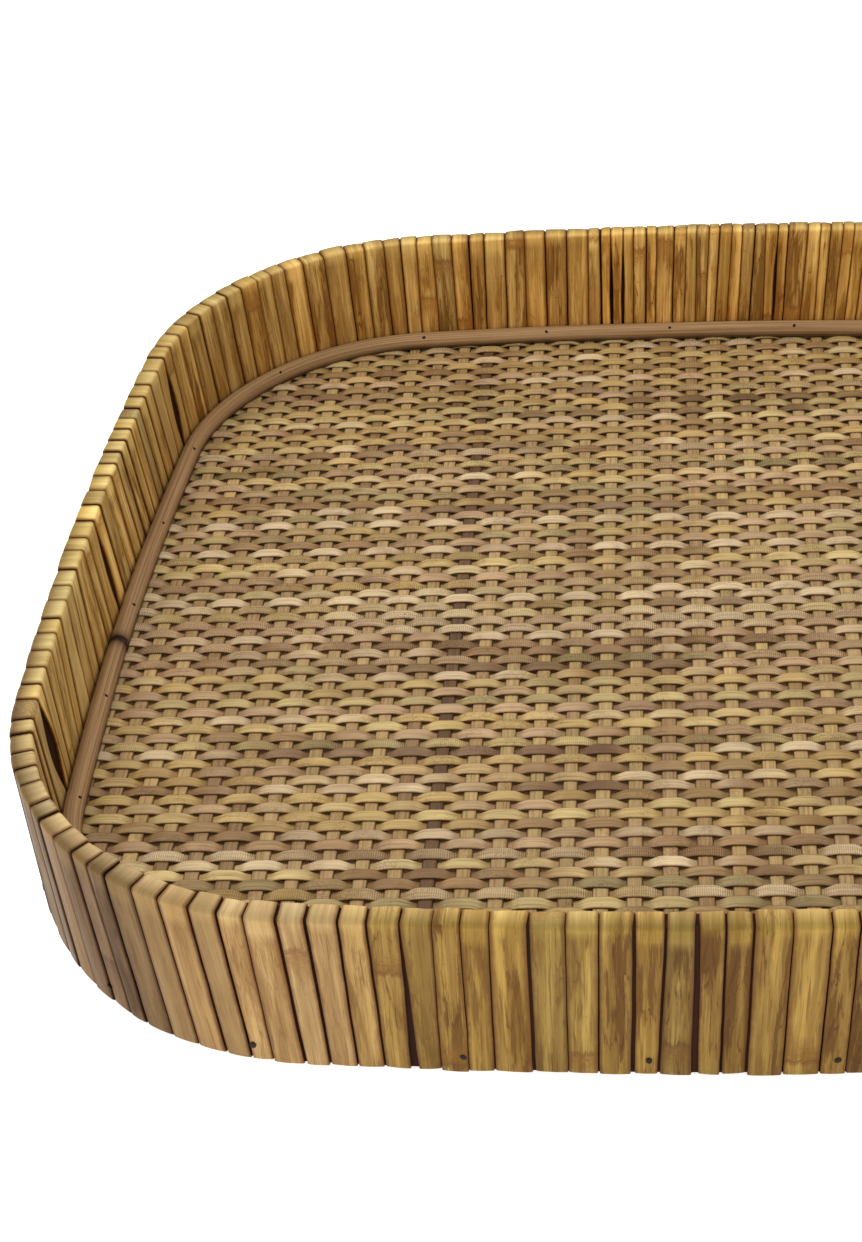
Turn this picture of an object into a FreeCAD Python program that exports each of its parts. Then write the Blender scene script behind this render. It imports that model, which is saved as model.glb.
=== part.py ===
import FreeCAD, Part
import math
import os

import Sketcher

# A square serving tray with rounded corners. Its wall is a hoop of two bent wood plies, wound all
# round with rattan peel. A plywood board is nailed inside the hoop's foot, a woven rattan mat lies
# on the board, and a D-shaped cane bead is pinned down over the mat's edge.
#
# The frame: millimetres, +Z up, origin on the ground under the middle of the tray, front at -Y.
#
# Every outline of the tray is eight tangent arcs: four long ones for the bowed sides and four short
# ones for the corners. Outlines of the inner pieces are the same arcs moved in by an inset.

SIZES = (
    ("tray_size", 400.0, "outside width and depth, at the middle of the sides"),
    ("tray_height", 58.0, "height of the wall"),
    ("corner_radius", 101.0, "outside radius of a corner"),
    ("bow_radius", 1600.0, "outside radius of a bowed side"),
    ("wall_thick", 7.7, "thickness of the wall with its peel"),
    ("peel_thick", 1.2, "thickness of the rattan peel"),
    ("wrap_gap", 0.5, "gap between two turns of peel"),
    ("side_wraps", 24, "turns of peel along a side"),
    ("corner_wraps", 17, "turns of peel round a corner"),
    ("hoop_joint", 0.4, "open joint between two halves of a ply"),
    ("fit_gap", 0.05, "clearance between neighbouring pieces"),
    ("board_bottom", 4.0, "height of the board's underside"),
    ("board_thick", 6.0, "thickness of the board"),
    ("warp_pitch", 10.35, "distance between two warps"),
    ("warp_width", 4.7, "width of a warp"),
    ("warp_thick", 0.8, "thickness of a warp"),
    ("weft_pitch", 4.34, "distance between two wefts"),
    ("weft_width", 4.2, "width of a weft"),
    ("weft_thick", 0.75, "thickness of a weft"),
    ("weft_rise", 0.9, "height of a weft's crest above the middle of the mat"),
    ("weft_fall", 0.08, "how far a weft has come down from its crest at a warp's edge"),
    ("mat_turn", 0.65, "turn of the mat in the tray, in degrees"),
    ("bead_width", 6.4, "width of the bead, whose crown is half round"),
    ("bead_side", 2.0, "height of the bead's upright sides, below its crown"),
    ("bead_joint", 0.6, "open butt joint in the bead"),
    ("bead_joint_place", -20.0, "Y of the butt joint, on the left side"),
    ("nail_height", 7.0, "height of the rim nails"),
    ("nail_length", 22.0, "length of a rim nail"),
    ("nail_diameter", 1.4, "shank of a rim nail"),
    ("nail_head_diameter", 2.6, "head of a rim nail"),
    ("nail_head_thick", 0.8, "thickness of that head"),
    ("rim_nail_count", 26, "rim nails round the tray"),
    ("first_nail_wrap", 5, "turn of the front side that the first nail goes through"),
    ("brad_length", 10.0, "length of a bead brad"),
    ("brad_offset", 1.3, "how far inwards of the bead's crown a brad stands"),
    ("brad_diameter", 1.1, "shank of a brad"),
    ("brad_head_diameter", 1.9, "head of a brad"),
    ("brad_head_thick", 0.5, "thickness of that head"),
    ("side_brads", 4, "brads along a side"),
    ("corner_brads", 2, "brads round a corner"),
)

SIDES = ("front", "right", "back", "left")
CORNERS = ("front_right", "back_right", "back_left", "front_left")

# The same derived lengths and angles, as formulas over the sheet's cells.
BOW_CENTRE = "(Sizes.bow_radius - Sizes.tray_size / 2)"
CORNER_CENTRE = (
    "((sqrt(2 * pow(Sizes.bow_radius - Sizes.corner_radius; 2)"
    f" - pow({BOW_CENTRE}; 2)) - {BOW_CENTRE}) / 2)"
)
BOW_ANGLE = f"atan2({CORNER_CENTRE}; {CORNER_CENTRE} + {BOW_CENTRE})"
SIDE_STEP = f"(2 * {BOW_ANGLE} / Sizes.side_wraps)"
CORNER_STEP = f"((90 deg - 2 * {BOW_ANGLE}) / Sizes.corner_wraps)"


def make_sheet(doc):
    """The driving dimensions, one to a row, each with an alias."""
    sheet = doc.addObject("Spreadsheet::Sheet", "Sizes")
    for row, (alias, value, meaning) in enumerate(SIZES, start=1):
        sheet.set(f"A{row}", alias)
        sheet.set(f"B{row}", str(value))
        sheet.set(f"C{row}", meaning)
        sheet.setAlias(f"B{row}", alias)
    doc.recompute()
    return sheet


def unit(degrees):
    """The level direction at an angle from +X."""
    return FreeCAD.Vector(math.cos(math.radians(degrees)), math.sin(math.radians(degrees)), 0)


class Arc:
    """One of the eight arcs of the tray's outside outline, anticlockwise seen from above."""

    def __init__(self, name, centre, radius, start, end, wraps):
        self.name = name
        self.centre = centre
        self.radius = radius
        self.start = start
        self.end = end
        self.wraps = wraps

    def edge(self, inset, height):
        circle = Part.Circle(self.centre + FreeCAD.Vector(0, 0, height), FreeCAD.Vector(0, 0, 1),
                             self.radius - inset)
        return Part.ArcOfCircle(circle, math.radians(self.start), math.radians(self.end))

    def angle(self, share):
        """The angle at a share, 0 to 1, of the way along the arc."""
        return self.start + share * (self.end - self.start)

    def point(self, share, inset, height):
        return (self.centre + unit(self.angle(share)) * (self.radius - inset)
                + FreeCAD.Vector(0, 0, height))


def outline_arcs(sheet):
    """The eight arcs in order: front side, front right corner, right side and so on."""
    bow_centre = sheet.bow_radius - sheet.tray_size / 2
    reach = sheet.bow_radius - sheet.corner_radius
    corner_centre = (math.sqrt(2 * reach ** 2 - bow_centre ** 2) - bow_centre) / 2
    bow_angle = math.degrees(math.atan2(corner_centre, corner_centre + bow_centre))
    arcs = []
    for quarter in range(4):
        facing = 90 * quarter - 90
        arcs.append(Arc(SIDES[quarter], unit(facing) * -bow_centre, sheet.bow_radius,
                        facing - bow_angle, facing + bow_angle, int(sheet.side_wraps)))
        arcs.append(Arc(CORNERS[quarter] + "_corner",
                        unit(facing + 45) * corner_centre * math.sqrt(2), sheet.corner_radius,
                        facing + bow_angle, facing + 90 - bow_angle, int(sheet.corner_wraps)))
    return arcs


def origin_plane(body, role):
    return [item for item in body.Origin.OriginFeatures if item.Role == role][0]


def body_with_sketch(doc, name, plane_role):
    """A body whose first sketch lies on one of the body's own origin planes."""
    body = doc.addObject("PartDesign::Body", name)
    sketch = body.newObject("Sketcher::SketchObject", name + "_sketch")
    sketch.AttachmentSupport = [(origin_plane(body, plane_role), "")]
    sketch.MapMode = "FlatFace"
    return body, sketch


def constrain(sketch, kind, *places, formula=None):
    """Adds a constraint, and binds its value to a formula where it has one."""
    index = sketch.addConstraint(Sketcher.Constraint(kind, *places))
    if formula:
        sketch.setExpression(f"Constraints[{index}]", formula)


def draw_outline(sketch, arcs, inset, inset_formula):
    """The tray's outline, moved in by inset: arcs tangent to each other, centred on the axes."""
    first = sketch.GeometryCount
    for arc in arcs:
        sketch.addGeometry(arc.edge(inset, 0), False)
    for step in range(8):
        constrain(sketch, "Tangent", first + step, 2, first + (step + 1) % 8, 1)
    for step in range(2, 8):
        constrain(sketch, "Equal", first + step % 2, first + step)
    constrain(sketch, "Radius", first, arcs[0].radius - inset,
              formula=f"Sizes.bow_radius - ({inset_formula})")
    constrain(sketch, "Radius", first + 1, arcs[1].radius - inset,
              formula=f"Sizes.corner_radius - ({inset_formula})")
    bow_centre = arcs[0].centre.y
    constrain(sketch, "PointOnObject", first, 3, -2)
    constrain(sketch, "PointOnObject", first + 4, 3, -2)
    constrain(sketch, "PointOnObject", first + 2, 3, -1)
    constrain(sketch, "PointOnObject", first + 6, 3, -1)
    constrain(sketch, "DistanceY", -1, 1, first, 3, bow_centre, formula=BOW_CENTRE)
    constrain(sketch, "DistanceY", first + 4, 3, -1, 1, bow_centre, formula=BOW_CENTRE)
    constrain(sketch, "DistanceX", -1, 1, first + 6, 3, bow_centre, formula=BOW_CENTRE)
    constrain(sketch, "DistanceX", first + 2, 3, -1, 1, bow_centre, formula=BOW_CENTRE)


def draw_rectangle(sketch, left, right, bottom, top):
    """A level rectangle. Each side is (distance from the origin, its formula)."""
    first = sketch.GeometryCount
    corners = [(left[0], bottom[0]), (right[0], bottom[0]), (right[0], top[0]), (left[0], top[0])]
    points = [FreeCAD.Vector(x, y, 0) for x, y in corners]
    for step in range(4):
        sketch.addGeometry(Part.LineSegment(points[step], points[(step + 1) % 4]), False)
        direction = "Vertical" if step % 2 else "Horizontal"
        constrain(sketch, direction, first + step)
    for step in range(4):
        constrain(sketch, "Coincident", first + step, 2, first + (step + 1) % 4, 1)
    constrain(sketch, "DistanceX", -1, 1, first, 1, left[0], formula=left[1])
    constrain(sketch, "DistanceX", -1, 1, first, 2, right[0], formula=right[1])
    constrain(sketch, "DistanceY", -1, 1, first + 2, 1, top[0], formula=top[1])
    if bottom[1]:
        constrain(sketch, "DistanceY", -1, 1, first, 1, bottom[0], formula=bottom[1])
    else:
        constrain(sketch, "PointOnObject", first, 1, -1)


def pad(body, sketch, name, length_formula):
    feature = body.newObject("PartDesign::Pad", name)
    feature.Profile = sketch
    feature.setExpression("Length", length_formula)
    sketch.Visibility = False
    return feature


def cut(doc, name, base, tool):
    """base without tool, as the finished sub-part called name."""
    result = doc.addObject("Part::Cut", name)
    result.Label = name
    result.Base = base
    result.Tool = tool
    return result


def make_rim_nails(doc, sheet, arcs):
    """Nails driven level through the wall into the board's edge, each through the middle of a turn."""
    turns = [(arc, (turn + 0.5) / arc.wraps) for arc in arcs for turn in range(arc.wraps)]
    solids = []
    for number in range(int(sheet.rim_nail_count)):
        place = int(sheet.first_nail_wrap + number * len(turns) / sheet.rim_nail_count)
        arc, share = turns[place % len(turns)]
        outside = arc.point(share, 0, sheet.nail_height)
        inward = unit(arc.angle(share)) * -1
        shank = Part.makeCylinder(sheet.nail_diameter / 2, sheet.nail_length, outside, inward)
        head = Part.makeCylinder(sheet.nail_head_diameter / 2, sheet.nail_head_thick, outside, inward)
        solids.append(shank.fuse(head).removeSplitter())
    nails = doc.addObject("Part::Feature", "rim_nails")
    nails.Label = "rim_nails"
    nails.Shape = Part.makeCompound(solids)
    return nails


def make_bead_brads(doc, sheet, arcs):
    """Brads driven straight down through the bead, inwards of its crown, and the mat into the board."""
    radius = sheet.bead_width / 2
    inset = sheet.wall_thick + sheet.fit_gap + radius + sheet.brad_offset
    height = bead_heights(sheet)[0] + sheet.bead_side + math.sqrt(radius ** 2 - sheet.brad_offset ** 2)
    down = FreeCAD.Vector(0, 0, -1)
    solids = []
    for arc in arcs:
        count = int(sheet.corner_brads if arc.name.endswith("corner") else sheet.side_brads)
        for number in range(count):
            top = arc.point(number / count, inset, height)
            shank = Part.makeCylinder(sheet.brad_diameter / 2, sheet.brad_length, top, down)
            head = Part.makeCylinder(sheet.brad_head_diameter / 2, sheet.brad_head_thick, top, down)
            solids.append(shank.fuse(head).removeSplitter())
    brads = doc.addObject("Part::Feature", "bead_brads")
    brads.Label = "bead_brads"
    brads.Shape = Part.makeCompound(solids)
    return brads


def make_wrap(doc, sheet, arc, nails):
    """The turns of peel along one arc: a hollow section turned about the arc's centre, repeated."""
    corner = arc.name.endswith("corner")
    radius = "Sizes.corner_radius" if corner else "Sizes.bow_radius"
    step = CORNER_STEP if corner else SIDE_STEP
    gap = f"Sizes.wrap_gap / {radius} * 180 / pi * 1 deg"
    body, sketch = body_with_sketch(doc, f"wrap_{arc.name}_turns", "XZ_Plane")
    outer = arc.radius
    inner = arc.radius - sheet.wall_thick
    peel = sheet.peel_thick
    draw_rectangle(sketch, (inner, f"{radius} - Sizes.wall_thick"), (outer, radius), (0, None),
                   (sheet.tray_height, "Sizes.tray_height"))
    draw_rectangle(sketch, (inner + peel, f"{radius} - Sizes.wall_thick + Sizes.peel_thick"),
                   (outer - peel, f"{radius} - Sizes.peel_thick"), (peel, "Sizes.peel_thick"),
                   (sheet.tray_height - peel, "Sizes.tray_height - Sizes.peel_thick"))
    turn = body.newObject("PartDesign::Revolution", f"wrap_{arc.name}_turn")
    turn.Profile = sketch
    turn.ReferenceAxis = (sketch, ["V_Axis"])
    turn.Reversed = False
    turn.setExpression("Angle", f"{step} - {gap}")
    sketch.Visibility = False
    doc.recompute()
    repeat = body.newObject("PartDesign::PolarPattern", f"wrap_{arc.name}_repeat")
    repeat.Originals = [turn]
    repeat.Axis = (origin_plane(body, "Z_Axis"), [""])
    repeat.Mode = "Spacing"
    repeat.setExpression("Offset", step)
    repeat.setExpression("Occurrences", "Sizes.corner_wraps" if corner else "Sizes.side_wraps")
    body.Tip = repeat
    doc.recompute()
    half_gap = math.degrees(sheet.wrap_gap / arc.radius) / 2
    body.Placement = FreeCAD.Placement(
        arc.centre, FreeCAD.Rotation(FreeCAD.Vector(0, 0, 1), arc.start + half_gap))
    return cut(doc, f"wrap_{arc.name}", body, nails)


def make_hoop_ply(doc, sheet, arcs, name, insets, halves, nails):
    """A bent ply between two insets of the outline, in two halves that meet in open butt joints."""
    body, sketch = body_with_sketch(doc, f"{name}_ply", "XY_Plane")
    for inset, formula in insets:
        draw_outline(sketch, arcs, inset, formula)
    pad(body, sketch, f"{name}_pad", "Sizes.tray_height - 2 * Sizes.peel_thick")
    body.Placement.Base.z = sheet.peel_thick
    doc.recompute()
    across = halves[0] in ("front", "back")
    made = []
    for half in halves:
        block = doc.addObject("Part::Box", f"{name}_{half}_block")
        for side in ("Length", "Width"):
            block.setExpression(side, "Sizes.tray_size")
        block.setExpression("Height", "Sizes.tray_height")
        low = -sheet.tray_size / 2
        past = sheet.hoop_joint / 2
        if half in ("front", "left"):
            past = -sheet.tray_size - sheet.hoop_joint / 2
        block.Placement.Base = FreeCAD.Vector(low, past, 0) if across else FreeCAD.Vector(past, low, 0)
        part = doc.addObject("Part::Common", f"{name}_{half}_blank")
        part.Base = body
        part.Tool = block
        made.append(cut(doc, f"{name}_{half}", part, nails))
    return made


def make_board(doc, sheet, arcs, fasteners):
    """The plywood board, with a hole for each nail and brad."""
    body, sketch = body_with_sketch(doc, "board_blank", "XY_Plane")
    draw_outline(sketch, arcs, sheet.wall_thick + sheet.fit_gap, "Sizes.wall_thick + Sizes.fit_gap")
    pad(body, sketch, "board_pad", "Sizes.board_thick")
    body.Placement.Base.z = sheet.board_bottom
    return cut(doc, "base_board", body, fasteners)


def mat_heights(sheet):
    """The lowest and highest level of the woven mat."""
    bottom = sheet.board_bottom + sheet.board_thick + sheet.fit_gap
    return bottom, bottom + 2 * sheet.weft_rise + sheet.weft_thick


def outline_prism(arcs, inset, bottom, height):
    edges = [arc.edge(inset, bottom).toShape() for arc in arcs]
    return Part.Face(Part.Wire(edges)).extrude(FreeCAD.Vector(0, 0, height))


def drill(solids, tool):
    """The solids, with tool cut out of those that it reaches."""
    made = []
    for solid in solids:
        reached = solid.BoundBox.intersect(tool.BoundBox)
        pins = [pin for pin in tool.Solids if reached and solid.BoundBox.intersect(pin.BoundBox)]
        drilled = solid.cut(Part.makeCompound(pins)) if pins else solid
        made.extend(drilled.Solids)
    return made


def weft_solid(sheet, row, middle, warps):
    """One weft: a strip that passes over one warp and under the next, cut past the tray's edge."""
    points = []
    shoulder = sheet.warp_width / 2 + 2 * sheet.fit_gap
    for warp in range(-warps, warps + 1):
        side = 1 if (warp + row) % 2 else -1
        place = warp * sheet.warp_pitch
        crest = side * sheet.weft_rise
        edge = side * (sheet.weft_rise - sheet.weft_fall)
        points.append(FreeCAD.Vector(place - shoulder, 0, edge))
        points.append(FreeCAD.Vector(place, 0, crest))
        points.append(FreeCAD.Vector(place + shoulder, 0, edge))
        points.append(FreeCAD.Vector(place + sheet.warp_pitch / 2, 0, 0))
    points.pop()
    lift = FreeCAD.Vector(0, 0, sheet.weft_thick)
    start = FreeCAD.Vector(0, (row * sheet.weft_pitch) - sheet.weft_width / 2,
                           middle - sheet.weft_thick / 2)
    curve = Part.BSplineCurve()
    curve.interpolate([start + point for point in points])
    lower = curve.toShape()
    upper = lower.translated(lift)
    first, last = start + points[0], start + points[-1]
    ends = [Part.LineSegment(end, end + lift).toShape() for end in (first, last)]
    section = Part.Face(Part.Wire([lower, ends[1], upper, ends[0]]))
    return section.extrude(FreeCAD.Vector(0, sheet.weft_width, 0))


def make_mat(doc, sheet, arcs, brads):
    """The woven mat: straight flat warps from front to back, and wefts that weave across them."""
    bottom, top = mat_heights(sheet)
    middle = (bottom + top) / 2
    inset = sheet.wall_thick + 3 * sheet.fit_gap
    prism = outline_prism(arcs, inset, 0, sheet.tray_height)
    warps = math.ceil(sheet.tray_size / 2 / sheet.warp_pitch)
    wefts = math.floor((sheet.tray_size / 2 - inset) / sheet.weft_pitch)
    turn = FreeCAD.Rotation(FreeCAD.Vector(0, 0, 1), sheet.mat_turn)
    rows = {"warp_strips_odd": [], "warp_strips_even": [], "weft_strips_odd": [], "weft_strips_even": []}
    for warp in range(-warps, warps + 1):
        corner = FreeCAD.Vector(warp * sheet.warp_pitch - sheet.warp_width / 2, -sheet.tray_size / 2,
                                middle - sheet.warp_thick / 2)
        strip = Part.makeBox(sheet.warp_width, sheet.tray_size, sheet.warp_thick, corner)
        rows["warp_strips_odd" if warp % 2 else "warp_strips_even"].append(strip)
    for row in range(-wefts, wefts + 1):
        strip = weft_solid(sheet, row, middle, warps)
        rows["weft_strips_odd" if row % 2 else "weft_strips_even"].append(strip)
    made = []
    for name, strips in rows.items():
        clipped = []
        for strip in strips:
            strip.Placement = FreeCAD.Placement(FreeCAD.Vector(), turn)
            clipped.extend(strip.common(prism).Solids)
        feature = doc.addObject("Part::Feature", name)
        feature.Label = name
        feature.Shape = Part.makeCompound(drill(clipped, brads.Shape))
        made.append(feature)
    return made


def bead_heights(sheet):
    """The level of the bead's flat side and of its crown."""
    bottom = mat_heights(sheet)[1] + sheet.fit_gap
    return bottom, bottom + sheet.bead_side + sheet.bead_width / 2


def make_bead(doc, sheet, arcs, brads):
    """The D-shaped bead, flat side down on the mat's edge, with one open butt joint."""
    radius = sheet.bead_width / 2
    inset = sheet.wall_thick + sheet.fit_gap + radius
    bottom = bead_heights(sheet)[0]
    up = FreeCAD.Vector(0, 0, 1)
    stretches = []
    for arc in arcs:
        foot = arc.point(0, inset, bottom)
        outward = unit(arc.start)
        feet = [foot - outward * radius, foot + outward * radius]
        shoulders = [end + up * sheet.bead_side for end in feet]
        crown = Part.Arc(shoulders[0], foot + up * (sheet.bead_side + radius), shoulders[1])
        lines = [(shoulders[1], feet[1]), (feet[1], feet[0]), (feet[0], shoulders[0])]
        edges = [crown.toShape()] + [Part.LineSegment(*line).toShape() for line in lines]
        section = Part.Face(Part.Wire(edges))
        stretches.append(section.revolve(arc.centre, up, arc.end - arc.start))
    ring = stretches[0].fuse(stretches[1:]).removeSplitter()
    joint = Part.makeBox(sheet.wall_thick * 4, sheet.bead_joint, sheet.bead_width)
    joint.translate(FreeCAD.Vector(-sheet.tray_size / 2, sheet.bead_joint_place, bottom - 1))
    bead = doc.addObject("Part::Feature", "inner_bead")
    bead.Label = "inner_bead"
    bead.Shape = ring.cut(joint).cut(brads.Shape)
    return bead


def check(doc, parts):
    """Stops if an object failed or a sub-part isn't made of sound solids."""
    for item in doc.Objects:
        if "Invalid" in item.State or "Error" in item.State:
            raise RuntimeError(f"{item.Label} failed: {item.State}")
    for part in parts:
        if part.Shape.isNull() or not part.Shape.isValid() or not part.Shape.Solids:
            raise RuntimeError(f"{part.Label} has no sound shape")


def main():
    doc = FreeCAD.newDocument("serving_tray")
    sheet = make_sheet(doc)
    arcs = outline_arcs(sheet)
    nails = make_rim_nails(doc, sheet, arcs)
    brads = make_bead_brads(doc, sheet, arcs)
    fasteners = doc.addObject("Part::Compound", "fasteners")
    fasteners.Links = [nails, brads]
    doc.recompute()
    parts = [nails, brads]
    parts += [make_wrap(doc, sheet, arc, nails) for arc in arcs]
    peel = sheet.peel_thick
    middle = sheet.wall_thick / 2
    parts += make_hoop_ply(doc, sheet, arcs, "outer_hoop",
                           [(peel, "Sizes.peel_thick"), (middle, "Sizes.wall_thick / 2")],
                           ("front", "back"), nails)
    parts += make_hoop_ply(doc, sheet, arcs, "inner_hoop",
                           [(middle, "Sizes.wall_thick / 2"),
                            (sheet.wall_thick - peel, "Sizes.wall_thick - Sizes.peel_thick")],
                           ("left", "right"), nails)
    parts.append(make_board(doc, sheet, arcs, fasteners))
    parts += make_mat(doc, sheet, arcs, brads)
    parts.append(make_bead(doc, sheet, arcs, brads))
    doc.recompute()
    check(doc, parts)
    os.makedirs("parts", exist_ok=True)
    for part in parts:
        part.Shape.exportStep(os.path.join("parts", part.Label + ".step"))
        box = part.Shape.optimalBoundingBox()
        print(f"{part.Label}: {len(part.Shape.Solids)} solids, {part.Shape.Volume / 1000:.1f} cm3, "
              f"x {box.XMin:.2f} {box.XMax:.2f}, y {box.YMin:.2f} {box.YMax:.2f}, "
              f"z {box.ZMin:.2f} {box.ZMax:.2f}")


main()
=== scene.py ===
import math
from collections import namedtuple

import bpy
import numpy as np
from mathutils import Matrix, Vector


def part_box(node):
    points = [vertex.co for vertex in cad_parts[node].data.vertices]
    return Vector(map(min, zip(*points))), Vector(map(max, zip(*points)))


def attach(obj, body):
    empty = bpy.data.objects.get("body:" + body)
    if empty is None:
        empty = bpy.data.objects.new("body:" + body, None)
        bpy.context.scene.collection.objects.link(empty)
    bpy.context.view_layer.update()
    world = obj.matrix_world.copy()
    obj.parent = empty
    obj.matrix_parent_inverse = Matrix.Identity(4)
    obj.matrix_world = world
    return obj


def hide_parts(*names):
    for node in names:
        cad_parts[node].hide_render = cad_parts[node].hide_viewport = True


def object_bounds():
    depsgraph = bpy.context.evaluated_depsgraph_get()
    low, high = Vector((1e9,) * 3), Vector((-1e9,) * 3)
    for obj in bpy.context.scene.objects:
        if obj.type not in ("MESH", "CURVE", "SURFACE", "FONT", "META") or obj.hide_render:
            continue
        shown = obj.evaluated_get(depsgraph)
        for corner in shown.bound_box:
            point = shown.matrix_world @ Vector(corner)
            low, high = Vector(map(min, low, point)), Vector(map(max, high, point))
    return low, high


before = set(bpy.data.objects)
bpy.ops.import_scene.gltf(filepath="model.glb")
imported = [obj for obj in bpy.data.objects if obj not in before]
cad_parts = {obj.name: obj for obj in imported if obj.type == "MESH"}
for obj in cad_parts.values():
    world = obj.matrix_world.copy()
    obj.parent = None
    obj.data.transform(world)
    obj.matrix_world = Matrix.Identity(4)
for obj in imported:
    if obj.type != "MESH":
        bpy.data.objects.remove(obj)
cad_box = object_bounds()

# A rattan serving tray: a wall wound with peel, a woven floor and a D-shaped bead, in metres.
# The outline is eight tangent arcs, as in the CAD model, and a place along it is an arc length,
# anticlockwise seen from above, from the left end of the front side.

MM = 0.001
HALF_SIZE = cad_box[1].x
HEIGHT = cad_box[1].z
CORNER_RADIUS = 101 * MM
BOW_RADIUS = 1600 * MM
WALL_THICK = 7.7 * MM
WARP_PITCH = 10.35 * MM
WEFT_PITCH = 4.34 * MM
MAT_TURN = math.radians(0.65)
MAT_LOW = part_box("weft_strips_even")[0].z
MAT_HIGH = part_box("weft_strips_even")[1].z
BEAD_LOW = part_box("inner_bead")[0].z
BEAD_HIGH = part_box("inner_bead")[1].z
BEAD_WIDTH = 6.4 * MM
BEAD_INSET = HALF_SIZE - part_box("inner_bead")[1].x + BEAD_WIDTH / 2
BEAD_JOINT_Y = -20 * MM
BRAD_LEAN = math.radians(42)

SIDES = ("front", "right", "back", "left")
CORNERS = ("front_right_corner", "back_right_corner", "back_left_corner", "front_left_corner")
SIDE_WRAPS = 24
CORNER_WRAPS = 17

random = np.random.default_rng(20)


def srgb(red, green, blue):
    """A colour given as 0 to 255 per channel, as linear light."""
    share = np.array([red, green, blue]) / 255
    return np.where(share <= 0.04045, share / 12.92, ((share + 0.055) / 1.055) ** 2.4)


# ---- the outline ----

class Outline:
    """The tray's outside outline."""

    def __init__(self):
        bow_centre = BOW_RADIUS - HALF_SIZE
        reach = BOW_RADIUS - CORNER_RADIUS
        corner_centre = (math.sqrt(2 * reach ** 2 - bow_centre ** 2) - bow_centre) / 2
        bow_angle = math.atan2(corner_centre, corner_centre + bow_centre)
        quarter = math.pi / 2
        rows = []
        for number in range(4):
            facing = quarter * (number - 1)
            diagonal = facing + quarter / 2
            rows.append((-bow_centre * math.cos(facing), -bow_centre * math.sin(facing), BOW_RADIUS,
                         facing - bow_angle, 2 * bow_angle))
            rows.append((corner_centre * math.sqrt(2) * math.cos(diagonal),
                         corner_centre * math.sqrt(2) * math.sin(diagonal), CORNER_RADIUS,
                         facing + bow_angle, quarter - 2 * bow_angle))
        self.x, self.y, self.radius, self.start, self.sweep = np.array(rows).T
        self.ends = np.concatenate([[0], np.cumsum(self.radius * self.sweep)])
        self.length = self.ends[-1]
        self.names = [name for pair in zip(SIDES, CORNERS) for name in pair]

    def span(self, name):
        """Where the named arc starts and ends."""
        index = self.names.index(name)
        return self.ends[index], self.ends[index + 1]

    def angle(self, place):
        """The bearing of a place from its arc's centre, and the number of the arc."""
        place = np.mod(place, self.length)
        arc = np.clip(np.searchsorted(self.ends, place, side="right") - 1, 0, 7)
        return self.start[arc] + (place - self.ends[arc]) / self.radius[arc], arc

    def points(self, place, inset, height):
        """Points at places along the outline, moved in by inset, at a height."""
        angle, arc = self.angle(place)
        radius = self.radius[arc] - inset
        flat = [self.x[arc] + radius * np.cos(angle), self.y[arc] + radius * np.sin(angle)]
        return np.stack(np.broadcast_arrays(*flat, height), axis=-1)

    def half_chord(self, across, inset):
        """How far the outline, moved in by inset, reaches along X at a given Y, or along Y at X."""
        across = np.abs(across)
        corner = abs(self.x[1])
        side_end = corner + (CORNER_RADIUS - inset) * math.sin(self.sweep[0] / 2)
        bow_centre = BOW_RADIUS - HALF_SIZE
        on_side = np.sqrt((BOW_RADIUS - inset) ** 2 - across ** 2) - bow_centre
        drop = np.clip((CORNER_RADIUS - inset) ** 2 - (across - corner) ** 2, 0, None)
        return np.where(across < side_end, on_side, corner + np.sqrt(drop))


outline = Outline()


# ---- meshes ----

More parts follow.
